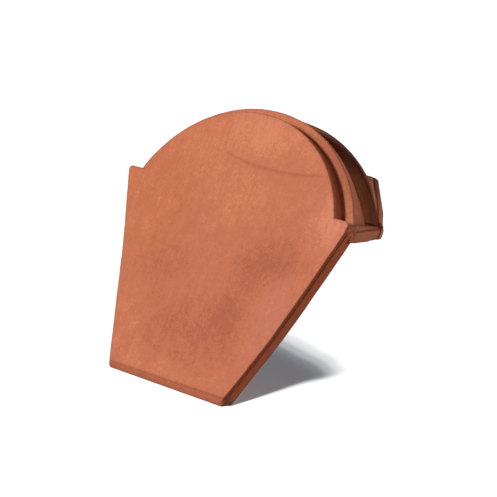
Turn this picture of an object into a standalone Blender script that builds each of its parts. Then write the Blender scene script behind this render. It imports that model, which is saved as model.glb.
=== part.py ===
# Ridge end tile in fired clay: a leaning face plate with a hollow collar behind it.
#
# The tile is worked out in the plate's own axes (x across, p up in the plate, d back from its face).
# It is then turned by RAKE, so that the ridge line runs level along +Y and the wings' undersides lie at Z = 0.
# All lengths are in metres.

import bmesh
import bpy
import numpy as np
from mathutils import Matrix

MM = 0.001

# Face plate
PLATE_WIDTH = 270.0 * MM
PLATE_THICK = 16.0 * MM
SHOULDER_TOP = 0.0
SHOULDER_SIDE = 4.5 * MM
SHOULDER_ROUND = 4.0 * MM
HEAD_RADIUS = 124.8 * MM
HEAD_CENTRE = -41.9 * MM
SKIRT_DROP = 194.2 * MM
SKIRT_FOOT_HALF = 70.8 * MM
SKIRT_BOW = 0.8 * MM
FOOT_ROUND = 4.0 * MM

# Raised front layer of the skirt: it stops short of the sides and leaves a ledge, which falls back a little
LEDGE_DEPTH = 3.3 * MM
LEDGE_SIDE = 2.2 * MM
LEDGE_FALL = 0.4 * MM

# Slant along the front of the foot
SLANT_DEPTH = 5.0 * MM
SLANT_DROP = 4.5 * MM

# Collar behind the plate: distances back from the face, radii, and centre heights
RING_FRONT = 15.5 * MM
RING_RADIUS = 140.5 * MM
RING_CENTRE = -48.8 * MM
NECK_RADIUS = 130.0 * MM
NECK_CENTRE = -45.0 * MM
NECK_END = 45.0 * MM
RIM_FRONT = 50.0 * MM
RIM_BACK = 58.0 * MM
RIM_RADIUS = 149.0 * MM
RIM_CENTRE = -53.0 * MM

# Back of the ring: parallel to the plate down to RING_TURN, then upright as the ridge's end
RING_BACK_TOP = 21.0 * MM
RING_TURN = 55.5 * MM
RING_BACK_ROUND = 150.0 * MM

# Hollow under the collar: it widens between two distances back from the face
HOLLOW_NARROW = 21.0 * MM
HOLLOW_WIDE = 36.0 * MM
HOLLOW_RADIUS_FRONT = 112.0 * MM
HOLLOW_RADIUS_BACK = 121.0 * MM
HOLLOW_CENTRE = -43.0 * MM

# Wings and ears at the collar's feet
RAKE = np.radians(21.0)
WING_SEAT_AT_PLATE = -15.424 * MM
WING_START = 10.5 * MM
WING_TOP_FRONT = -0.5 * MM
WING_TOP_SLOPE = 0.29
EAR_TOP = 58.0 * MM
EAR_TOP_HALF = 112.0 * MM
EAR_MIDDLE_HALF = 129.6 * MM
EAR_MIDDLE = 28.7 * MM
EAR_FOOT = 10.0 * MM
EAR_BOW = 0.8 * MM
EAR_ROUND = 2.5 * MM

# Step that runs on from the skirt's ledge: along the wing's side, then up the ear's outer edge
STEP_HEIGHT = 10.3 * MM
STEP_INSET = 2.0 * MM
EAR_STEP_DEPTH = 2.5 * MM
EAR_STEP_SIDE = 2.4 * MM

# Fineness of the curves
ARC_STEPS = 56
BOW_STEPS = 6
CORNER_STEPS = 4
COVE_STEPS = 5

# Pieces run into each other by OVERLAP; ASIDE and FLUSH keep their faces out of one plane
OVERLAP = 2.0 * MM
ASIDE = 0.5 * MM
FLUSH = 0.1 * MM
BELOW = -45.0 * MM
FOOT_DROP = 0.1
FAR = 200.0 * MM
WELD = 0.02 * MM

HALF = PLATE_WIDTH / 2


def arc_points(radius, centre, low, steps):
    """Right to left over the top: points of a circle on the mirror plane, down to the height low."""
    reach = np.arccos((low - centre) / radius)
    angles = np.linspace(reach, -reach, steps + 1)
    return [(radius * np.sin(a), centre + radius * np.cos(a)) for a in angles]


def bowed(start, end, sag, steps):
    """Points from start to end, both left out, on a shallow arc that bulges to the right of the way."""
    start = np.array(start)
    end = np.array(end)
    way = end - start
    side = np.array([way[1], -way[0]]) / np.hypot(*way)
    return [tuple(start + way * t + side * sag * 4 * t * (1 - t)) for t in np.arange(1, steps) / steps]


def rounded(corner, before, after, radius, steps):
    """Arc that replaces a corner between the directions of its two neighbours."""
    corner = np.array(corner)
    a = np.array(before) - corner
    b = np.array(after) - corner
    a = a / np.hypot(*a)
    b = b / np.hypot(*b)
    half = np.arccos(np.clip(a @ b, -1, 1)) / 2
    centre = corner + (a + b) / np.hypot(*(a + b)) * radius / np.sin(half)
    start = corner + a * radius / np.tan(half) - centre
    end = corner + b * radius / np.tan(half) - centre
    turn = np.arctan2(start[0] * end[1] - start[1] * end[0], start @ end)
    points = []
    for t in np.linspace(0, turn, steps + 1):
        c, s = np.cos(t), np.sin(t)
        points.append(tuple(centre + np.array([c * start[0] - s * start[1], s * start[0] + c * start[1]])))
    return points


def plate_outline(side_out, foot_out):
    """Outline of the face plate; the skirt's sides and foot lie out by the two amounts."""
    top = (HALF, -SHOULDER_SIDE)
    foot = (SKIRT_FOOT_HALF, -SKIRT_DROP)
    way = np.array(top) - np.array(foot)
    slope = way[0] / way[1]
    lift = side_out * np.hypot(1, slope)
    foot_x = foot[0] + lift - foot_out * slope
    corner = (foot_x, -SKIRT_DROP - foot_out)
    turn = (HALF, -SHOULDER_SIDE - lift / slope)
    right = rounded(corner, (0, corner[1]), turn, FOOT_ROUND, CORNER_STEPS)
    right += bowed(right[-1], turn, SKIRT_BOW, BOW_STEPS)
    right.append(turn)
    shoulder = (HALF, SHOULDER_TOP)
    inner = (np.sqrt(HEAD_RADIUS ** 2 - HEAD_CENTRE ** 2), SHOULDER_TOP)
    right += rounded(shoulder, turn, inner, SHOULDER_ROUND, CORNER_STEPS)
    arc = arc_points(HEAD_RADIUS, HEAD_CENTRE, SHOULDER_TOP, ARC_STEPS)
    left = [(-x, p) for x, p in reversed(right)]
    return right + arc + left


def arch_outline(radius, centre, limit):
    """Outline of a solid arch, no wider than limit at its feet; a wider arch reaches a little lower."""
    low = centre + np.sqrt(max(radius ** 2 - limit ** 2, 0)) if radius > limit else SHOULDER_TOP
    low = max(low, SHOULDER_TOP)
    arc = arc_points(radius, centre, low, ARC_STEPS)
    x = arc[0][0]
    foot = BELOW - (radius - HOLLOW_RADIUS_FRONT) * FOOT_DROP
    return [(x, foot)] + arc + [(-x, foot)]


def rim_outline(inset):
    """Outline of the rear rim with its two ears, whose outer sides lie in by inset."""
    meet = np.sqrt(RIM_RADIUS ** 2 - (EAR_TOP - RIM_CENTRE) ** 2)
    arc = arc_points(RIM_RADIUS, RIM_CENTRE, EAR_TOP, ARC_STEPS)
    ear_top = (EAR_TOP_HALF - inset, EAR_TOP)
    ear_middle = (EAR_MIDDLE_HALF - inset, EAR_MIDDLE)
    right = [(HALF - inset, BELOW - OVERLAP), (HALF - inset, EAR_FOOT)]
    right += bowed(right[-1], ear_middle, EAR_BOW, CORNER_STEPS)
    right.append(ear_middle)
    right += rounded(ear_top, ear_middle, (meet, EAR_TOP), EAR_ROUND, CORNER_STEPS)
    left = [(-x, p) for x, p in reversed(right)]
    return right + arc + left


def loft(name, sections):
    """Closed solid through outlines of equal length, each given with its distance back from the face."""
    bm = bmesh.new()
    rings = [[bm.verts.new((x, d, p)) for x, p in outline] for d, outline in sections]
    count = len(rings[0])
    for low, high in zip(rings, rings[1:]):
        for i in range(count):
            j = (i + 1) % count
            bm.faces.new((low[i], low[j], high[j], high[i]))
    bm.faces.new(list(reversed(rings[0])))
    bm.faces.new(rings[-1])
    bmesh.ops.recalc_face_normals(bm, faces=bm.faces)
    bmesh.ops.triangulate(bm, faces=bm.faces)
    mesh = bpy.data.meshes.new(name)
    bm.to_mesh(mesh)
    bm.free()
    obj = bpy.data.objects.new(name, mesh)
    bpy.context.collection.objects.link(obj)
    return obj


def side_prism(name, outline, x0, x1):
    """Closed solid from an outline in (d, p), carried across from x0 to x1."""
    bm = bmesh.new()
    first = [bm.verts.new((x0, d, p)) for d, p in outline]
    last = [bm.verts.new((x1, d, p)) for d, p in outline]
    count = len(outline)
    for i in range(count):
        j = (i + 1) % count
        bm.faces.new((first[i], first[j], last[j], last[i]))
    bm.faces.new(list(reversed(first)))
    bm.faces.new(last)
    bmesh.ops.recalc_face_normals(bm, faces=bm.faces)
    mesh = bpy.data.meshes.new(name)
    bm.to_mesh(mesh)
    bm.free()
    obj = bpy.data.objects.new(name, mesh)
    bpy.context.collection.objects.link(obj)
    return obj


def combine(target, other, operation):
    """Joins or cuts target with other, and removes other."""
    modifier = target.modifiers.new("combine", "BOOLEAN")
    modifier.operation = operation
    modifier.solver = "EXACT"
    modifier.object = other
    bpy.context.view_layer.update()
    graph = bpy.context.evaluated_depsgraph_get()
    mesh = bpy.data.meshes.new_from_object(target.evaluated_get(graph))
    target.modifiers.clear()
    old = target.data
    target.data = mesh
    bpy.data.meshes.remove(old)
    bpy.data.objects.remove(other)


def seat_height(d):
    """Height in the plate's axes of the wings' underside at the distance d."""
    return WING_SEAT_AT_PLATE + (d - PLATE_THICK) * np.tan(RAKE)


def wing_top_height(d):
    """Height in the plate's axes of the wings' tops at the distance d."""
    return WING_TOP_FRONT + (d - WING_START) * WING_TOP_SLOPE


def make_wings():
    """Block across both wings, up to their tops."""
    foot = BELOW - 2 * OVERLAP
    end = RIM_BACK - OVERLAP
    outline = [(WING_START, foot), (end, foot)] + [(d, wing_top_height(d)) for d in (end, WING_START)]
    return side_prism("wings", outline, FLUSH - HALF, HALF - FLUSH)


def cut_steps(tile):
    """Sets the sides back above a level line, from the skirt's ledge to the ear's step."""
    start = LEDGE_DEPTH + LEDGE_FALL / 2
    end = RIM_FRONT + EAR_STEP_DEPTH + LEDGE_FALL / 2
    outline = [(d, seat_height(d) + STEP_HEIGHT) for d in (start, end)] + [(end, FAR), (start, FAR)]
    combine(tile, side_prism("right_step", outline, HALF - STEP_INSET, FAR), "DIFFERENCE")
    combine(tile, side_prism("left_step", outline, -FAR, STEP_INSET - HALF), "DIFFERENCE")


def make_rim():
    """Solid rear rim with its ears and the step along their outer edges."""
    front = rim_outline(EAR_STEP_SIDE)
    back = rim_outline(0.0)
    step = RIM_FRONT + EAR_STEP_DEPTH
    return loft("rim", [(RIM_FRONT, front), (step, front), (step + LEDGE_FALL, back), (RIM_BACK, back)])


def make_ring(limit):
    """Solid ring on the plate's back, thin at its top and deeper towards its feet."""
    outline = arch_outline(RING_RADIUS, RING_CENTRE, limit)
    ring = loft("ring", [(RING_FRONT, outline), (RIM_FRONT, outline)])
    top = (RING_BACK_TOP, FAR)
    low = (RING_BACK_TOP + (RING_TURN + FAR) * np.tan(RAKE), -FAR)
    behind = [top] + rounded((RING_BACK_TOP, RING_TURN), top, low, RING_BACK_ROUND, CORNER_STEPS) + [low]
    behind += [(FAR, -FAR), (FAR, FAR)]
    combine(ring, side_prism("behind_ring", behind, -FAR, FAR), "DIFFERENCE")
    return ring


def make_collar():
    """Ring, neck, rear rim with ears, and the wings, open beneath and behind."""
    limit = HALF - STEP_INSET
    head = arch_outline(HEAD_RADIUS - ASIDE, HEAD_CENTRE, limit)
    neck = arch_outline(NECK_RADIUS, NECK_CENTRE, limit)
    sections = [(LEDGE_DEPTH + OVERLAP, head), (RING_FRONT + ASIDE, head)]
    sections += [(RING_FRONT + OVERLAP, neck), (NECK_END, neck)]
    for step in range(1, COVE_STEPS + 1):
        turn = np.pi / 2 * step / COVE_STEPS
        rise = 1 - np.cos(turn)
        radius = NECK_RADIUS + (RIM_RADIUS - NECK_RADIUS - OVERLAP) * rise
        centre = NECK_CENTRE + (RIM_CENTRE - NECK_CENTRE) * rise
        depth = NECK_END + (RIM_FRONT + ASIDE - NECK_END) * np.sin(turn)
        sections.append((depth, arch_outline(radius, centre, limit)))
    sections.append((RIM_FRONT + OVERLAP, sections[-1][1]))
    collar = loft("collar", sections)
    combine(collar, make_rim(), "UNION")
    combine(collar, make_ring(limit), "UNION")
    combine(collar, make_wings(), "UNION")
    seat = [(-FAR, seat_height(-FAR)), (FAR, seat_height(FAR)), (FAR, -FAR), (-FAR, -FAR)]
    combine(collar, side_prism("seat_cut", seat, -FAR, FAR), "DIFFERENCE")
    front = arch_outline(HOLLOW_RADIUS_FRONT, HOLLOW_CENTRE, HALF)
    back = arch_outline(HOLLOW_RADIUS_BACK, HOLLOW_CENTRE, HALF)
    hollow = [(PLATE_THICK - OVERLAP, front), (HOLLOW_NARROW, front), (HOLLOW_WIDE, back), (FAR, back)]
    combine(collar, loft("hollow", hollow), "DIFFERENCE")
    return collar


def make_tile():
    """The whole tile as one closed solid, in the plate's axes."""
    slant = SLANT_DROP / SLANT_DEPTH
    ledge_end = LEDGE_DEPTH + LEDGE_FALL
    sections = [(0.0, plate_outline(0.0, 0.0)), (LEDGE_DEPTH, plate_outline(0.0, LEDGE_DEPTH * slant))]
    sections.append((ledge_end, plate_outline(LEDGE_SIDE, ledge_end * slant)))
    sections += [(d, plate_outline(LEDGE_SIDE, SLANT_DROP)) for d in (SLANT_DEPTH, PLATE_THICK)]
    tile = loft("ridge_end_tile", sections)
    combine(tile, make_collar(), "UNION")
    cut_steps(tile)
    return tile


def clay():
    """Terracotta."""
    material = bpy.data.materials.new("terracotta")
    material.use_nodes = True
    shader = material.node_tree.nodes["Principled BSDF"]
    shader.inputs["Base Color"].default_value = (0.50, 0.19, 0.095, 1.0)
    shader.inputs["Roughness"].default_value = 0.85
    return material


def place(tile):
    """Turns the tile to its place on the ridge: seat at Z = 0, its middle at Y = 0."""
    middle = (PLATE_THICK + RIM_BACK) / 2
    shift = Matrix.Translation((0, -middle, -seat_height(middle)))
    # d and p are turned about X so that the wings' undersides become level
    turn = Matrix.Rotation(-RAKE, 4, "X")
    tile.data.transform(turn @ shift)
    tile.data.materials.clear()
    tile.data.materials.append(clay())
    bm = bmesh.new()
    bm.from_mesh(tile.data)
    bmesh.ops.remove_doubles(bm, verts=bm.verts, dist=WELD)
    bmesh.ops.dissolve_degenerate(bm, edges=bm.edges, dist=WELD)
    bmesh.ops.triangulate(bm, faces=bm.faces)
    bm.to_mesh(tile.data)
    bm.free()


for old in list(bpy.data.objects):
    bpy.data.objects.remove(old)
place(make_tile())
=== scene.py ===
import math

import bmesh
import bpy
import numpy as np
from mathutils import Matrix, Vector, kdtree


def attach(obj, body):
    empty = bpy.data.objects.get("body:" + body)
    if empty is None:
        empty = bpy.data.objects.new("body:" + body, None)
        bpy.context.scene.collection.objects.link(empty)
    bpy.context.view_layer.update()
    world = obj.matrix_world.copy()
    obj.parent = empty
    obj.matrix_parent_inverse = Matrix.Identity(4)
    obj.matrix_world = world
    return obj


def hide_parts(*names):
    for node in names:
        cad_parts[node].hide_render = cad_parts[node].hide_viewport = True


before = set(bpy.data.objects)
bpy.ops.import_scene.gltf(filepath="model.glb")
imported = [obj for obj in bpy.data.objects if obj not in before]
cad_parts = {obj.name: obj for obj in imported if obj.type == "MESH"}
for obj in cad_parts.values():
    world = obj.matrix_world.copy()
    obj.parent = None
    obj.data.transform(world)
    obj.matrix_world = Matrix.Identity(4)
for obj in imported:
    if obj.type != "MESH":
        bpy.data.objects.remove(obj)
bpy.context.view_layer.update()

# Lengths are in millimetres. Those times MM, and places and reaches of the camera and floor, are in metres.
MM = 0.001

# The plate has its own axes inside the row frame: x across, p up in the plate and d back from its face. Two
# numbers in brackets are mostly limits: where an effect starts and where it is full.
RAKE = math.radians(21.0)
MIDDLE = 37.0
PLATE_THICK = 16.0
SEAT_AT_PLATE = -15.424
SEAT = SEAT_AT_PLATE + (MIDDLE - PLATE_THICK) * math.tan(RAKE)
PLATE_HALF = 135.0
SKIRT = 196.0
FOOT_HALF = 71.0
FOOT_EDGE = 194.2
RING_CENTRE = -48.8
RIM_CENTRE = -53.0

# Clay body
WELD = 0.01 * MM
VOXEL = 0.6 * MM
SMOOTH_SHARE = 0.5
SMOOTH_PASSES = 4
TRIANGLES = 190000

# Wear of the foot: height and depth of the slant at its front, and how far the foot sinks at that depth
FOOT_SLANT = 4.5
FOOT_DEPTH = 5.0
FOOT_SINK = 1.5

# Warp of the skirt: it dishes back, and is thicker in its upper half. These limits are shares of the skirt's
# length from its top.
DISH = 4.1
DISH_EASE = 6.0
THICKEN = 1.3
THICKEN_TOP = (0.0, 0.12)
THICKEN_LOW = (0.75, 0.45)

# The raised face flares out at its right edge. The last limits are such shares too.
FLARE = 1.3
FLARE_INSIDE = (14.0, 4.0)
FLARE_DEPTHS = (4.2, 2.4)
FLARE_TOP = (0.02, 0.07)

# The skirt's sides bow, and the right end of its foot is lower, more at the back than at the front
BOW = 0.6
SKEW_FRONT = 0.9
SKEW_BACK = 2.4
SKEW_BACK_DEPTH = 6.0
SKEW_REACH = 40.0
SKEW_MOST = 1.1

# Warp of the collar: the rear rim spreads, and the ears with it
REAR_DEPTHS = (44.0, 50.0)
RIM_SPREAD = 0.8
RIM_ANGLES = (6.0, 18.0)
RIM_HEIGHTS = (8.0, 20.0)
EAR_SPREAD = 0.3
EAR_HALVES = (112.0, 124.0)
EAR_HEIGHTS = (52.0, 30.0)

# Outline of the ear from its top down, as heights and half widths, and how far inside it its step lies
EAR_UP = (58.0, 28.7, 6.0)
EAR_HALF = (112.0, 129.9, 134.4)
STEP_IN = 2.4

# The step lies further in towards the ear's foot
STEP_SHIFT = 1.5
STEP_DEPTHS = (44.0, 47.0)
STEP_OUTSIDE = (2.4, 0.5)
STEP_INSIDE = (-12.0, -2.0)
STEP_HEIGHTS = (36.0, 16.0)

# Each ear's foot runs out into a heel, and the wings' undersides sag
HEEL_BACK = 6.0
HEEL_UP = 3.0
HEEL_DEPTHS = (42.0, 57.0)
HEEL_HEIGHTS = (20.5, 6.0)
SAG = 0.8
SAG_DEPTHS = (15.0, 20.0)
SAG_HALVES = (100.0, 120.0)
SAG_HEIGHTS = (2.0, -4.0)

# Faint unevenness of the whole body: column of the coordinate, then size, seed and reach of each noise
UNEVENNESS = (
    (2, ((70.0, 11, 0.18), (24.0, 12, 0.06))),
    (0, ((60.0, 13, 0.12), (14.0, 14, 0.05))),
    (1, ((16.0, 15, 0.05),)),
)
NOISE_WAVES = 9
NOISE_LENGTHS = (0.6, 1.5)
NOISE_RANGE = 3.2

# Shallow mark across the head where the face was struck off: an arc of a wide circle centred above the tile.
# The face steps back below the arc, and comes level again further down.
STRIKE_CENTRE = (30.0, 281.0)
STRIKE_RADIUS = 250.0
STRIKE_STEP = 0.25
STRIKE_LEFT = (-38.0, -10.0)
STRIKE_RIGHT = (96.0, 78.0)
STRIKE_DEPTHS = (4.0, 2.0)
STRIKE_RISE = (-0.8, 0.8)
STRIKE_FADE = (14.0, 1.0)

# How sharp an edge has painted shade along it, how far from it this reaches and is full, and the spacing of
# the points along it that stand for it
SHARP_TURN = math.radians(24.0)
ARRIS_REACH = 1.7
CREVICE_REACH = 2.0
FULL_REACH = 0.4
EDGE_SPACING = 0.4

# Camera, from the photo's fit
CAMERA_PLACE = (1.2869, -1.8380, 0.351)
CAMERA_FORWARD = (-0.56425, 0.80778, -0.17063)
CAMERA_UP = (-0.22251, 0.05023, 0.97364)
FOCAL_PIXELS = 2300.0
PICTURE_PIXELS = 497.0
SENSOR = 36.0
VIEW_REACH = 200.0

# Floor, tilted to follow the foot
FLOOR_LEVEL = -0.1701
FLOOR_TILT = math.radians(1.05)
FLOOR_REACH = 60.0
FLOOR_COLOUR = (0.9, 0.9, 0.9, 1)
STUDIO_COLOUR = (0.96, 0.98, 1.0, 1)

# Lights on the object: name, direction towards the light in the plate's axes, strength, width in degrees, and
# whether the floor stops it
OBJECT_LIGHTS = (
    ("key", (-0.31, 0.0, -0.95), 0.84, 10, True),
    ("side", (-0.8, 0.0, -0.6), 0.50, 10, True),
    ("top", (0.0, 0.6, 0.8), 0.28, 20, True),
    ("back", (0.6, 0.45, 0.65), 0.23, 20, True),
    ("right", (0.9, 0.4, 0.0), 0.12, 20, True),
    ("bounce", (0.5, -0.3, -0.8), 0.09, 16, False),
    ("far_side", (-0.5, 0.2, 0.85), 0.25, 30, True),
)

# Lights on the floor: name, direction towards the light in the row frame, strength. They fan out and share
# the shadow's lower edge. Their width is in degrees.
FLOOR_LIGHTS = (
    ("floor_high", (0.415, -0.338, 0.845), 0.090),
    ("floor_upper", (0.413, -0.414, 0.811), 0.320),
    ("floor_middle", (0.410, -0.481, 0.775), 0.430),
    ("floor_lower", (0.404, -0.540, 0.738), 0.400),
    ("floor_low", (0.396, -0.603, 0.693), 0.100),
)
FLOOR_LIGHT_WIDTH = 3
WHITE = (1, 1, 1)

# Light on the floor that nothing stops, which gives the shadow its cool tone
EVEN_WAY = (0, 0, 1)
EVEN_STRENGTH = 0.17
EVEN_WIDTH = 20
EVEN_COLOUR = (0.84, 1.0, 1.12)

# Three points in the plate's axes on the cut between the flag and the part of the tile that it leaves out
FLAG_CUT = ((0.0, 80.0, 0.0), (-66.0, -194.0, 0.0), (0.0, 80.0, 50.0))

# Clay's colours, and the shade at which the lighter or darker one is full
CLAY = (0.490, 0.147, 0.0720, 1)
CLAY_LIGHT = (0.600, 0.203, 0.1020, 1)
CLAY_DARK = (0.385, 0.105, 0.0520, 1)
SHADE_FULL = 1.3

# Patches that fired lighter, or darker below zero, and on the face's upper right one painted pool of light:
# x, p, half width, half height, turn in degrees, amount
LIGHTER = (
    (8, 66, 78, 42, 0, 1.0), (-62, 28, 56, 52, 30, 0.36), (4, 2, 62, 46, 0, 0.40),
    # the patch at x 116, p -6, on the face's upper right, is a painted pool of light
    (116, -6, 40, 44, 0, 1.05), (66, 48, 36, 32, 0, 0.30), (-105, -40, 44, 60, 0, 0.15),
    (60, -62, 54, 38, -35, -1.05), (44, -108, 34, 42, 0, -0.55), (34, -142, 50, 56, 10, -1.0),
    (-16, -146, 52, 54, 0, -0.65), (-52, -88, 52, 58, 0, -0.45), (-56, -38, 52, 34, 0, -0.35),
    (-72, -150, 34, 40, 0, 0.30), (4, -86, 26, 36, 0, -0.15), (-16, -190, 72, 22, 0, 0.55),
)

# Patches that fired pinker, or more orange below zero, in the same form, and what they multiply the colour by
PINKER = (
    (-95, -20, 90, 120, 0, -0.9), (118, 0, 60, 60, 0, 1.0), (86, -110, 40, 86, 0, 1.5),
    (10, 64, 70, 34, 0, 0.5), (-60, -120, 60, 80, 0, -0.4),
)
PINK = (1.0, 1.05, 1.22)
PINK_FULL = 1.6
ORANGE = (1.0, 0.97, 0.86)
ORANGE_FULL = -1.2

# Patches run right through the tile, and soft noise of this size pushes their borders about by this much
PATCH_DEPTH = 10000
PATCH_WANDER = (34.0, 26.0)

# Mottling at four sizes and faint upright streaks: size, detail, range of the noise, reach, stretch
MOTTLING = (
    (42.0, 2.0, (0.3, 0.7), 0.18, (1, 1, 1)),
    (13.0, 2.0, (0.3, 0.7), 0.20, (1, 1, 1)),
    (4.2, 2.0, (0.3, 0.7), 0.22, (1, 1, 1)),
    (1.3, 2.0, (0.28, 0.72), 0.42, (1, 1, 1)),
    (6.0, 3.0, (0.3, 0.7), 0.16, (0.5, 1, 7)),
)

# Thin darker, redder line of the struck mark
STRIKE_TINT = (0.80, 0.70, 0.74)
STRIKE_SHARE = 0.65
STRIKE_LIMITS = (
    ("from_strike", -1.6, 0.4), ("from_strike", 5.0, 0.6), ("x", -40, 0), ("x", 96, 80), ("d", 3.0, 1.5),
)

# Sand, as pale flecks and dark specks, and small pits as spots of painted shade: spacing, radius limits in
# spacings, tint, amount
SAND_AND_PIT_SHADE = (
    (3.4, (0.19, 0.10), (1.30, 1.45, 1.50), 0.55),
    (7.5, (0.10, 0.05), (0.62, 0.52, 0.50), 0.8),
    (2.2, (0.20, 0.10), (0.80, 0.74, 0.72), 0.5),
)
SAND_WANDER = (3.0, 1.6)
CLUSTER_SIZE = 16.0
CLUSTER_RANGE = (0.42, 0.62)

# The wings' tops climb from the plate to the rim: depths, and heights there
WING_DEPTHS = (10.5, 60.5)
WING_HEIGHTS = (-0.5, 14.0)

# Painted light and shade, part by part: each part's colour is lightened, darkened or tinted as light falls on
# it.
# What multiplies the colour, and limits with their measures' names
ABOVE_WINGS = ("p", 9, 13)
ON_EAR = (("d", 46, 47.5), ("d", 55, 53), ("from_rim_centre", 149.5, 151))
PAINTED_LIGHT_AND_SHADE = (
    # painted light on the skirt's sides, and painted shade on the head's edge and on the foot's slant and
    # underside
    ((1.56, 1.22, 1.03), (
        ("d", 1.5, 3.0), ("d", 18.0, 16.5), ("p", -4, -8), ("p", -195, -190), ("from_skirt_side", -3.6, -2.4),
    )),
    ((0.97, 0.80, 0.63), (("d", 1.5, 2.5), ("d", 15.5, 14.5), ("p", -2, 4))),
    ((0.87, 0.81, 0.79), (("p", -FOOT_EDGE - 0.3, -FOOT_EDGE - 1.3),)),
    # painted light on the outside of the ring and the neck behind it, and a painted shade tone on the rim and
    # ears
    ((1.25, 1.10, 0.95), (("d", 16.2, 17.4), ("from_ring_centre", 136, 138.5), ("d", 47, 44), ABOVE_WINGS)),
    ((1.38, 1.58, 1.42), (("d", 20, 24), ("from_ring_centre", 138.5, 136), ("d", 49.5, 48.5), ABOVE_WINGS)),
    ((1.02, 1.36, 1.45), (("d", 48.5, 49), ("d", 52, 51.5), ("from_rim_centre", 148.5, 147.5), ABOVE_WINGS)),
    ((0.79, 1.07, 1.12), (("d", 47, 47.5), ("d", 52, 51.5), ("from_rim_centre", 149.5, 151), ABOVE_WINGS)),
    # painted light on the tops and sides of the wings
    ((1.40, 1.50, 1.20), (
        ("from_wing_top", -1.2, -0.8), ("from_wing_top", 1.2, 0.8), ("wide", 133, 132), ("d", 16, 19),
        ("d", 50, 47),
    )),
    ((1.43, 1.42, 1.33), (("wide", 131, 134), ("d", 16, 18))),
    # painted light: paler strips of the ears' fronts, inside the step and outside it
    ((1.65, 1.65, 1.65), (*ON_EAR, ("from_step", 0.3, -0.6), ("p", 58, 40))),
    ((1.45, 1.50, 1.55), (*ON_EAR, ("from_step", 0.0, 0.8), ("p", 50, 30))),
    # painted shade on the edge of the rim, and on all of its top
    ((0.60, 0.58, 0.60), (("from_rim_centre", 145.5, 147.5), ("d", 47, 49), ("p", 36, 48))),
    ((0.62, 0.60, 0.62), (("d", 46, 48), ("p", 52, 68))),
)

# Painted shade along the edges, in the crevices and on the convex arrises: mesh attribute, size and shift of
# the noise that breaks it up, least share, and what multiplies the colour
PAINTED_EDGE_SHADE = (
    ("crevice", 5.0, 9.0, 0.5, (0.74, 0.62, 0.56)),
    ("arris", 3.5, 4.0, 0.6, (0.66, 0.61, 0.60)),
)
EDGE_NOISE_RANGE = (0.25, 0.7)

# More painted shade in the crevices beside the wings and ears
DEEP_PAINTED_SHADE = (0.68, 0.55, 0.47)
DEEP_LIMITS = (("wide", 108, 114), ("d", 17, 20))

# Surface: the grains are noises with size, detail and roughness
CLAY_ROUGHNESS = 0.86
CLAY_SPECULAR = 0.2
FINE_GRAIN = (0.7, 3.0, 0.6)
SOFT_GRAIN = (3.0, 3.0, 0.5)
SOFT_GRAIN_SHARE = 1.6
BUMP_STRENGTH = 0.55
BUMP_HEIGHT = 0.22 * MM


def to_plate(points):
    """Plate coordinates (x, p, d) in millimetres of points in the row frame."""
    c, s = math.cos(RAKE), math.sin(RAKE)
    x, y, z = (points / MM).T
    return np.column_stack((x, y * s + z * c + SEAT, y * c - z * s + MIDDLE))


def to_row(points):
    """Points in the row frame from plate coordinates in millimetres."""
    c, s = math.cos(RAKE), math.sin(RAKE)
    x, p, d = points.T
    y = (d - MIDDLE) * c + (p - SEAT) * s
    z = -(d - MIDDLE) * s + (p - SEAT) * c
    return np.column_stack((x, y, z)) * MM


def from_plate(direction):
    """Direction in the row frame from one in the plate's axes (x, p, d)."""
    c, s = math.cos(RAKE), math.sin(RAKE)
    x, p, d = direction
    return Vector((x, d * c + p * s, -d * s + p * c)).normalized()


def coordinates(mesh):
    flat = np.empty(len(mesh.vertices) * 3, dtype=np.float32)
    mesh.vertices.foreach_get("co", flat)
    return flat.reshape(-1, 3).astype(float)


def set_coordinates(mesh, points):
    mesh.vertices.foreach_set("co", points.astype(np.float32).ravel())
    mesh.update()


def apply_modifiers(obj):
    graph = bpy.context.evaluated_depsgraph_get()
    mesh = bpy.data.meshes.new_from_object(obj.evaluated_get(graph))
    old = obj.data
    obj.modifiers.clear()
    obj.data = mesh
    bpy.data.meshes.remove(old)


def smooth_noise(points, scale, seed):
    """Soft noise between about -1 and 1: a few waves of random direction, so it is the same on each run."""
    rng = np.random.default_rng(seed)
    total = np.zeros(len(points))
    for _ in range(NOISE_WAVES):
        way = rng.normal(size=3)
        way *= rng.uniform(*NOISE_LENGTHS) / np.linalg.norm(way) / scale
        total += np.sin(points @ way * 2 * math.pi + rng.uniform(0, 2 * math.pi))
    return total / NOISE_RANGE


def ease(value, low, high):
    """0 below low, 1 above high and smooth between them. Works downwards too, where low is above high."""
    t = np.clip((value - low) / (high - low), 0, 1)
    return t * t * (3 - 2 * t)


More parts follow.
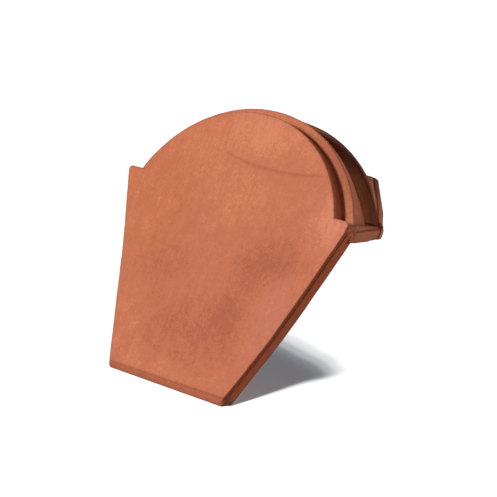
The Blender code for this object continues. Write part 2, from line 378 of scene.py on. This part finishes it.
def warp_collar(plate):
    """Rim and ears spread a little, the ears' steps shift in, their feet get heels and the wings sag."""
    x, p, d = plate.T.copy()
    side, wide = np.sign(x), np.abs(x)
    rear = ease(d, *REAR_DEPTHS)
    outer = ease(wide, *EAR_HALVES)

    radius = np.hypot(x, p - RIM_CENTRE) + 1e-6
    angle = np.degrees(np.arctan2(wide, p - RIM_CENTRE))
    spread = RIM_SPREAD * rear * ease(angle, *RIM_ANGLES) * ease(p, *RIM_HEIGHTS)
    plate[:, 0] += spread * x / radius
    plate[:, 1] += spread * (p - RIM_CENTRE) / radius
    plate[:, 0] += side * EAR_SPREAD * rear * outer * ease(p, *EAR_HEIGHTS)

    slope = (EAR_HALF[2] - EAR_HALF[1]) / (EAR_UP[1] - EAR_UP[2])
    from_step = wide - EAR_HALF[1] - slope * (EAR_UP[1] - p) + STEP_IN
    near_step = ease(from_step, *STEP_OUTSIDE) * ease(from_step, *STEP_INSIDE)
    plate[:, 0] -= side * STEP_SHIFT * ease(d, *STEP_DEPTHS) * near_step * ease(p, *STEP_HEIGHTS)

    heel = ease(d, *HEEL_DEPTHS) * outer * ease(p, *HEEL_HEIGHTS)
    plate[:, 2] += HEEL_BACK * heel
    plate[:, 1] += HEEL_UP * heel
    plate[:, 1] -= SAG * ease(d, *SAG_DEPTHS) * ease(wide, *SAG_HALVES) * ease(p, *SAG_HEIGHTS)


def warp_foot(plate):
    """The foot is worn level with the ground it stands on, from its back edge to the slant at its front."""
    low = np.clip((-FOOT_EDGE - plate[:, 1]) / FOOT_SLANT, 0, 1)
    plate[:, 1] += low * (math.tan(RAKE) * (plate[:, 2] - FOOT_DEPTH) - FOOT_SINK)


def warp_skirt(plate):
    """The flare of the face, the skirt's thicker upper half, its dish and bow, and the skew of its foot."""
    # t runs from the shoulders to the foot, eased in so that the head runs smoothly into the skirt
    below = -plate[:, 1]
    eased = 0.5 * (below + np.sqrt(below ** 2 + DISH_EASE ** 2))
    t = np.clip(eased / SKIRT, 0, 1)
    half = PLATE_HALF - (PLATE_HALF - FOOT_HALF) * t
    near_side = ease(plate[:, 0], half - FLARE_INSIDE[0], half - FLARE_INSIDE[1])
    plate[:, 0] += FLARE * near_side * ease(plate[:, 2], *FLARE_DEPTHS) * ease(t, *FLARE_TOP)
    through = np.clip(plate[:, 2] / PLATE_THICK, 0, 1)
    plate[:, 2] += THICKEN * ease(t, *THICKEN_TOP) * ease(t, *THICKEN_LOW) * through
    plate[:, 2] += DISH * 4 * t * (1 - t)
    plate[:, 0] *= 1 - BOW * np.sin(2 * math.pi * t) / half

    low = np.clip((below - SKIRT + SKEW_REACH) / SKEW_REACH, 0, SKEW_MOST) ** 2
    back = np.clip(plate[:, 2] / SKEW_BACK_DEPTH, 0, 1)
    right = np.clip((plate[:, 0] + FOOT_HALF) / (2 * FOOT_HALF), 0, 1)
    plate[:, 1] -= low * right * (SKEW_FRONT + (SKEW_BACK - SKEW_FRONT) * back)


def strike_face(plate):
    """The step of the struck mark in the face."""
    x, p, d = plate.T
    across = np.hypot(x - STRIKE_CENTRE[0], p - STRIKE_CENTRE[1]) - STRIKE_RADIUS
    along = ease(x, *STRIKE_LEFT) * ease(x, *STRIKE_RIGHT) * ease(d, *STRIKE_DEPTHS)
    plate[:, 2] += STRIKE_STEP * along * ease(across, *STRIKE_RISE) * ease(across, *STRIKE_FADE)


def warp(points):
    """Points of the true solid, moved to where the fired clay has them."""
    plate = to_plate(points)
    warp_collar(plate)
    warp_foot(plate)
    warp_skirt(plate)
    for column, noises in UNEVENNESS:
        plate[:, column] += sum(smooth_noise(plate, size, seed) * reach for size, seed, reach in noises)
    strike_face(plate)
    return to_row(plate)


def edge_points(mesh):
    """Closely spaced points along the sharp edges of the solid, the convex ones and the hollow ones."""
    bm = bmesh.new()
    bm.from_mesh(mesh)
    bm.normal_update()
    found = ([], [])
    for edge in bm.edges:
        if len(edge.link_faces) != 2 or edge.calc_face_angle() < SHARP_TURN:
            continue
        start, end = (np.array(vert.co) for vert in edge.verts)
        steps = max(2, int(edge.calc_length() / (EDGE_SPACING * MM)))
        share = np.linspace(0, 1, steps)[:, None]
        found[0 if edge.is_convex else 1].append(start + (end - start) * share)
    bm.free()
    return [np.concatenate(group) for group in found]


def mark_edges(mesh, name, points, reach):
    """Writes how near each vertex is to the points, as an attribute from 0 to 1 for the painted shade along
    the edges.
    """
    tree = kdtree.KDTree(len(points))
    for i, point in enumerate(points):
        tree.insert(point, i)
    tree.balance()
    near = np.array([tree.find(point)[2] for point in coordinates(mesh)]) / MM
    layer = mesh.attributes.new(name, "FLOAT", "POINT")
    layer.data.foreach_set("value", ease(near, reach, FULL_REACH).astype(np.float32))


def make_tile():
    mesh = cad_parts["ridge_end_tile"].data.copy()
    bm = bmesh.new()
    bm.from_mesh(mesh)
    bmesh.ops.remove_doubles(bm, verts=bm.verts, dist=WELD)
    bm.to_mesh(mesh)
    bm.free()
    convex, hollow = edge_points(mesh)
    tile = bpy.data.objects.new("clay_tile", mesh)
    bpy.context.scene.collection.objects.link(tile)
    remesh = tile.modifiers.new("remesh", "REMESH")
    remesh.mode = "VOXEL"
    remesh.voxel_size = VOXEL
    soften = tile.modifiers.new("soften", "SMOOTH")
    soften.factor = SMOOTH_SHARE
    soften.iterations = SMOOTH_PASSES
    apply_modifiers(tile)
    set_coordinates(tile.data, warp(coordinates(tile.data)))
    # the remeshed faces have four corners, so each is two triangles
    decimate = tile.modifiers.new("decimate", "DECIMATE")
    decimate.ratio = min(1.0, TRIANGLES / (2 * len(tile.data.polygons)))
    apply_modifiers(tile)
    for polygon in tile.data.polygons:
        polygon.use_smooth = True
    # the two attributes carry the painted shade along the convex edges and in the crevices
    mark_edges(tile.data, "arris", warp(convex), ARRIS_REACH)
    mark_edges(tile.data, "crevice", warp(hollow), CREVICE_REACH)
    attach(tile, "root")
    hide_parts("ridge_end_tile")
    return tile


class Clay:
    """The fired clay's material, built from places in the plate's own millimetres (x, d, p)."""

    def __init__(self):
        self.material = bpy.data.materials.new("terracotta")
        self.material.use_nodes = True
        self.nodes = self.material.node_tree.nodes
        self.links = self.material.node_tree.links
        mapping = self.node("ShaderNodeMapping")
        self.join(self.node("ShaderNodeTexCoord").outputs["Object"], mapping.inputs["Vector"])
        mapping.inputs["Scale"].default_value = (1 / MM, 1 / MM, 1 / MM)
        mapping.inputs["Rotation"].default_value = (RAKE, 0, 0)
        mapping.inputs["Location"].default_value = (0, MIDDLE, SEAT)
        self.place = mapping.outputs["Vector"]
        self.measures = self.measure()

    def node(self, kind):
        return self.nodes.new(kind)

    def join(self, value, socket):
        if isinstance(value, (int, float, tuple)):
            socket.default_value = value
        else:
            self.links.new(value, socket)

    def math(self, operation, first, second=0.0):
        node = self.node("ShaderNodeMath")
        node.operation = operation
        self.join(first, node.inputs[0])
        self.join(second, node.inputs[1])
        return node.outputs[0]

    def product(self, *factors):
        total = factors[0]
        for factor in factors[1:]:
            total = self.math("MULTIPLY", total, factor)
        return total

    def spread(self, value, low, high, to_low=0.0, to_high=1.0, linear=False):
        """Maps low..high to to_low..to_high, with soft ends unless it is linear."""
        node = self.node("ShaderNodeMapRange")
        node.interpolation_type = "LINEAR" if linear else "SMOOTHSTEP"
        for name, number in (("From Min", low), ("From Max", high), ("To Min", to_low), ("To Max", to_high)):
            node.inputs[name].default_value = number
        self.join(value, node.inputs["Value"])
        return node.outputs["Result"]

    def distance(self, x, p, centre):
        """Distance from the line through centre (x, p) that runs straight back from the face."""
        flat = self.node("ShaderNodeCombineXYZ")
        self.join(x, flat.inputs["X"])
        self.join(p, flat.inputs["Z"])
        far = self.node("ShaderNodeVectorMath")
        far.operation = "DISTANCE"
        self.join(flat.outputs[0], far.inputs[0])
        far.inputs[1].default_value = (centre[0], 0, centre[1])
        return far.outputs["Value"]

    def measure(self):
        """What limits go by: coordinates, with the depth d as before the skirt dished, and distances."""
        split = self.node("ShaderNodeSeparateXYZ")
        self.join(self.place, split.inputs["Vector"])
        x, deep, p = split.outputs
        wide = self.math("ABSOLUTE", x)
        down = self.spread(p, 0.0, -SKIRT, linear=True)
        dish = self.product(down, self.math("SUBTRACT", 1.0, down), 4 * DISH)
        d = self.math("SUBTRACT", deep, dish)

        skirt_half = self.spread(p, 0.0, -SKIRT, PLATE_HALF, FOOT_HALF, linear=True)
        upper_ear = self.spread(p, EAR_UP[0], EAR_UP[1], EAR_HALF[0], EAR_HALF[1], linear=True)
        lower_ear = self.spread(p, EAR_UP[1], EAR_UP[2], 0.0, EAR_HALF[2] - EAR_HALF[1], linear=True)
        ear_half = self.math("ADD", upper_ear, lower_ear)
        wing_top = self.spread(d, *WING_DEPTHS, *WING_HEIGHTS, linear=True)
        return {
            "x": x,
            "p": p,
            "d": d,
            "wide": wide,
            "from_strike": self.math("SUBTRACT", self.distance(x, p, STRIKE_CENTRE), STRIKE_RADIUS),
            "from_ring_centre": self.distance(x, p, (0, RING_CENTRE)),
            "from_rim_centre": self.distance(x, p, (0, RIM_CENTRE)),
            "from_wing_top": self.math("SUBTRACT", p, wing_top),
            "from_skirt_side": self.math("SUBTRACT", wide, skirt_half),
            "from_step": self.math("ADD", self.math("SUBTRACT", wide, ear_half), STEP_IN),
        }

    def within(self, limits):
        """Product of limits, each with the name of its measure, where it starts and where it is full."""
        return self.product(*(self.spread(self.measures[name], start, full) for name, start, full in limits))

    def mix(self, factor, first, second, blend="MIX"):
        # inputs 6 and 7 and output 2 of this node are its colours
        node = self.node("ShaderNodeMix")
        node.data_type = "RGBA"
        node.blend_type = blend
        for index, value in ((0, factor), (6, first), (7, second)):
            self.join(value, node.inputs[index])
        return node.outputs[2]

    def tint(self, colour, factor, times):
        """Multiplies the colour by times, in the share factor."""
        return self.mix(factor, colour, self.mix(1.0, colour, (*times, 1), "MULTIPLY"))

    def noise(self, size, detail=2.0, rough=0.5, stretch=(1, 1, 1), shift=0.0, output="Fac"):
        """Noise whose features are about size millimetres across. Each shift gives another noise."""
        mapping = self.node("ShaderNodeMapping")
        mapping.inputs["Scale"].default_value = tuple(1 / (size * part) for part in stretch)
        mapping.inputs["Location"].default_value = (shift, shift * 0.7, -shift)
        self.join(self.place, mapping.inputs["Vector"])
        node = self.node("ShaderNodeTexNoise")
        node.inputs["Scale"].default_value = 1.0
        node.inputs["Detail"].default_value = detail
        node.inputs["Roughness"].default_value = rough
        self.join(mapping.outputs["Vector"], node.inputs["Vector"])
        return node.outputs[output]

    def attribute(self, name):
        node = self.node("ShaderNodeAttribute")
        node.attribute_name = name
        return node.outputs["Fac"]

    def wander(self, size, reach):
        """The place, pushed about by soft noise so that patches get uneven borders."""
        away = self.node("ShaderNodeVectorMath")
        away.operation = "SUBTRACT"
        self.join(self.noise(size, detail=3.0, output="Color"), away.inputs[0])
        away.inputs[1].default_value = (0.5, 0.5, 0.5)
        push = self.node("ShaderNodeVectorMath")
        push.operation = "MULTIPLY_ADD"
        self.join(away.outputs[0], push.inputs[0])
        push.inputs[1].default_value = (reach, reach, reach)
        self.join(self.place, push.inputs[2])
        return push.outputs[0]

    def patches(self, place, rows):
        """Sum of soft oval patches: each row is x, p, half width, half height, turn in degrees, amount."""
        total = 0.0
        for x, p, wide, high, turn, amount in rows:
            mapping = self.node("ShaderNodeMapping")
            mapping.vector_type = "TEXTURE"
            mapping.inputs["Location"].default_value = (x, 0, p)
            mapping.inputs["Rotation"].default_value = (0, math.radians(turn), 0)
            mapping.inputs["Scale"].default_value = (wide, PATCH_DEPTH, high)
            self.join(place, mapping.inputs["Vector"])
            far = self.node("ShaderNodeVectorMath")
            far.operation = "LENGTH"
            self.join(mapping.outputs["Vector"], far.inputs[0])
            total = self.math("ADD", self.spread(far.outputs["Value"], 1.0, 0.0, 0.0, amount), total)
        return total

    def spots(self, size, radius, amount):
        """Share of small round spots in clusters, one spot to a cell of the size."""
        scaled = self.node("ShaderNodeMapping")
        scaled.inputs["Scale"].default_value = (1 / size, 1 / size, 1 / size)
        scaled.inputs["Location"].default_value = (size, 0, size)
        self.join(self.wander(*SAND_WANDER), scaled.inputs["Vector"])
        cells = self.node("ShaderNodeTexVoronoi")
        cells.inputs["Scale"].default_value = 1.0
        self.join(scaled.outputs["Vector"], cells.inputs["Vector"])
        spot = self.spread(cells.outputs["Distance"], *radius, 0.0, amount)
        cluster = self.spread(self.noise(CLUSTER_SIZE, shift=size * 3), *CLUSTER_RANGE)
        return self.product(spot, cluster)


def fired_colour_and_painted_light(clay):
    """The clay's own colour with firing patches, mottling and streaks, and painted light on the face's upper
    right.
    """
    place = clay.wander(*PATCH_WANDER)
    shade = clay.patches(place, LIGHTER)
    for size, detail, (low, high), reach, stretch in MOTTLING:
        part = clay.noise(size, detail, stretch=stretch, shift=size)
        shade = clay.math("ADD", shade, clay.spread(part, low, high, -reach, reach))
    colour = clay.mix(clay.spread(shade, 0.0, SHADE_FULL), CLAY, CLAY_LIGHT)
    colour = clay.mix(clay.spread(shade, 0.0, -SHADE_FULL), colour, CLAY_DARK)
    pink = clay.patches(place, PINKER)
    colour = clay.tint(colour, clay.spread(pink, 0.0, PINK_FULL), PINK)
    return clay.tint(colour, clay.spread(pink, 0.0, ORANGE_FULL), ORANGE)


def paint_edge_shade(clay, colour):
    """Darkens the colour with painted shade in the crevices and along the convex arrises."""
    for name, size, shift, least, times in PAINTED_EDGE_SHADE:
        broken = clay.spread(clay.noise(size, detail=3.0, shift=shift), *EDGE_NOISE_RANGE, least, 1.0)
        colour = clay.tint(colour, clay.product(clay.attribute(name), broken), times)
    # deeper painted shade in the crevices beside the wings and ears
    deep = clay.product(clay.attribute("crevice"), clay.within(DEEP_LIMITS))
    return clay.tint(colour, deep, DEEP_PAINTED_SHADE)


def terracotta():
    clay = Clay()
    shader = clay.nodes["Principled BSDF"]
    shader.inputs["Roughness"].default_value = CLAY_ROUGHNESS
    shader.inputs["Specular IOR Level"].default_value = CLAY_SPECULAR

    # the clay's colour, with a painted pool of light on the face's upper right
    colour = fired_colour_and_painted_light(clay)
    colour = clay.tint(colour, clay.product(clay.within(STRIKE_LIMITS), STRIKE_SHARE), STRIKE_TINT)
    # sand, and the painted shade of small pits
    for size, radius, times, amount in SAND_AND_PIT_SHADE:
        colour = clay.tint(colour, clay.spots(size, radius, amount), times)
    # painted light and shade, part by part
    for times, limits in PAINTED_LIGHT_AND_SHADE:
        colour = clay.tint(colour, clay.within(limits), times)
    # painted shade along the edges and in the crevices
    clay.join(paint_edge_shade(clay, colour), shader.inputs["Base Color"])

    # grain of the sanded surface over a soft unevenness
    soft = clay.product(clay.noise(*SOFT_GRAIN), SOFT_GRAIN_SHARE)
    bump = clay.node("ShaderNodeBump")
    bump.inputs["Strength"].default_value = BUMP_STRENGTH
    bump.inputs["Distance"].default_value = BUMP_HEIGHT
    clay.join(clay.math("ADD", clay.noise(*FINE_GRAIN), soft), bump.inputs["Height"])
    clay.join(bump.outputs["Normal"], shader.inputs["Normal"])
    return clay.material


def make_floor():
    mesh = bpy.data.meshes.new("floor")
    signs = ((-1, -1), (1, -1), (1, 1), (-1, 1))
    mesh.from_pydata([(x * FLOOR_REACH, y * FLOOR_REACH, 0) for x, y in signs], [], [(0, 1, 2, 3)])
    floor = bpy.data.objects.new("floor", mesh)
    floor.location.z = FLOOR_LEVEL
    floor.rotation_euler.y = FLOOR_TILT
    bpy.context.scene.collection.objects.link(floor)
    material = bpy.data.materials.new("floor")
    material.use_nodes = True
    shader = material.node_tree.nodes["Principled BSDF"]
    shader.inputs["Base Color"].default_value = FLOOR_COLOUR
    shader.inputs["Roughness"].default_value = 1.0
    shader.inputs["Specular IOR Level"].default_value = 0.0
    mesh.materials.append(material)
    # it throws no light back on the tile
    floor.visible_diffuse = False
    return floor


def make_flag():
    """Hidden studio flag inside the tile, which alone shades the floor.

    It is the tile's right part, so that the photo's view has a shadow only to the tile's right.
    """
    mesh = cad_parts["ridge_end_tile"].data.copy()
    head, foot, behind = (Vector(point) for point in to_row(np.array(FLAG_CUT)))
    left = (foot - head).cross(behind - head)
    left *= -math.copysign(1, left.x)
    bm = bmesh.new()
    bm.from_mesh(mesh)
    parts = bm.verts[:] + bm.edges[:] + bm.faces[:]
    bmesh.ops.bisect_plane(bm, geom=parts, plane_co=head, plane_no=left, clear_outer=True)
    bm.to_mesh(mesh)
    bm.free()
    flag = bpy.data.objects.new("flag", mesh)
    bpy.context.scene.collection.objects.link(flag)
    flag.visible_camera = False
    flag.visible_diffuse = False
    flag.visible_glossy = False
    flag.visible_transmission = False
    return flag


def sun(name, towards, strength, angle, colour, lit, blockers):
    """Soft light from the direction towards, that reaches only the object lit. Only the blockers stop it."""
    data = bpy.data.lights.new(name, "SUN")
    data.energy = strength * math.pi
    data.angle = math.radians(angle)
    data.color = colour
    lamp = bpy.data.objects.new(name, data)
    lamp.rotation_euler = Vector(towards).to_track_quat("Z", "Y").to_euler()
    bpy.context.scene.collection.objects.link(lamp)
    receivers = bpy.data.collections.new(name + "_receivers")
    receivers.objects.link(lit)
    lamp.light_linking.receiver_collection = receivers
    stops = bpy.data.collections.new(name + "_blockers")
    for blocker in blockers:
        stops.objects.link(blocker)
    lamp.light_linking.blocker_collection = stops


def light_scene(tile, floor, flag):
    world = bpy.data.worlds.new("studio")
    world.use_nodes = True
    background = world.node_tree.nodes["Background"]
    background.inputs["Color"].default_value = STUDIO_COLOUR
    background.inputs["Strength"].default_value = 1.0
    # the white of the studio shows behind the object, while its light comes from the lamps alone
    world.cycles_visibility.diffuse = False
    world.cycles_visibility.glossy = False
    bpy.context.scene.world = world
    for name, way, strength, angle, floor_stops in OBJECT_LIGHTS:
        blockers = (tile, floor) if floor_stops else (tile,)
        sun(name, from_plate(way), strength, angle, WHITE, tile, blockers)
    for name, way, strength in FLOOR_LIGHTS:
        sun(name, way, strength, FLOOR_LIGHT_WIDTH, WHITE, floor, (flag,))
    # the flat floor can't shade itself, so as the only blocker it stops nothing
    sun("floor_even", EVEN_WAY, EVEN_STRENGTH, EVEN_WIDTH, EVEN_COLOUR, floor, (floor,))


def make_camera():
    data = bpy.data.cameras.new("camera")
    data.sensor_fit = "HORIZONTAL"
    data.sensor_width = SENSOR
    data.lens = FOCAL_PIXELS * SENSOR / PICTURE_PIXELS
    data.clip_end = VIEW_REACH
    camera = bpy.data.objects.new("camera", data)
    forward = Vector(CAMERA_FORWARD).normalized()
    up = Vector(CAMERA_UP)
    right = forward.cross(up).normalized()
    up = right.cross(forward)
    turn = Matrix((right, up, -forward)).transposed().to_4x4()
    camera.matrix_world = Matrix.Translation(CAMERA_PLACE) @ turn
    bpy.context.scene.collection.objects.link(camera)
    bpy.context.scene.camera = camera


tile = make_tile()
tile.data.materials.clear()
tile.data.materials.append(terracotta())
floor = make_floor()
light_scene(tile, floor, make_flag())
make_camera()
bpy.context.scene.view_settings.view_transform = "Standard"
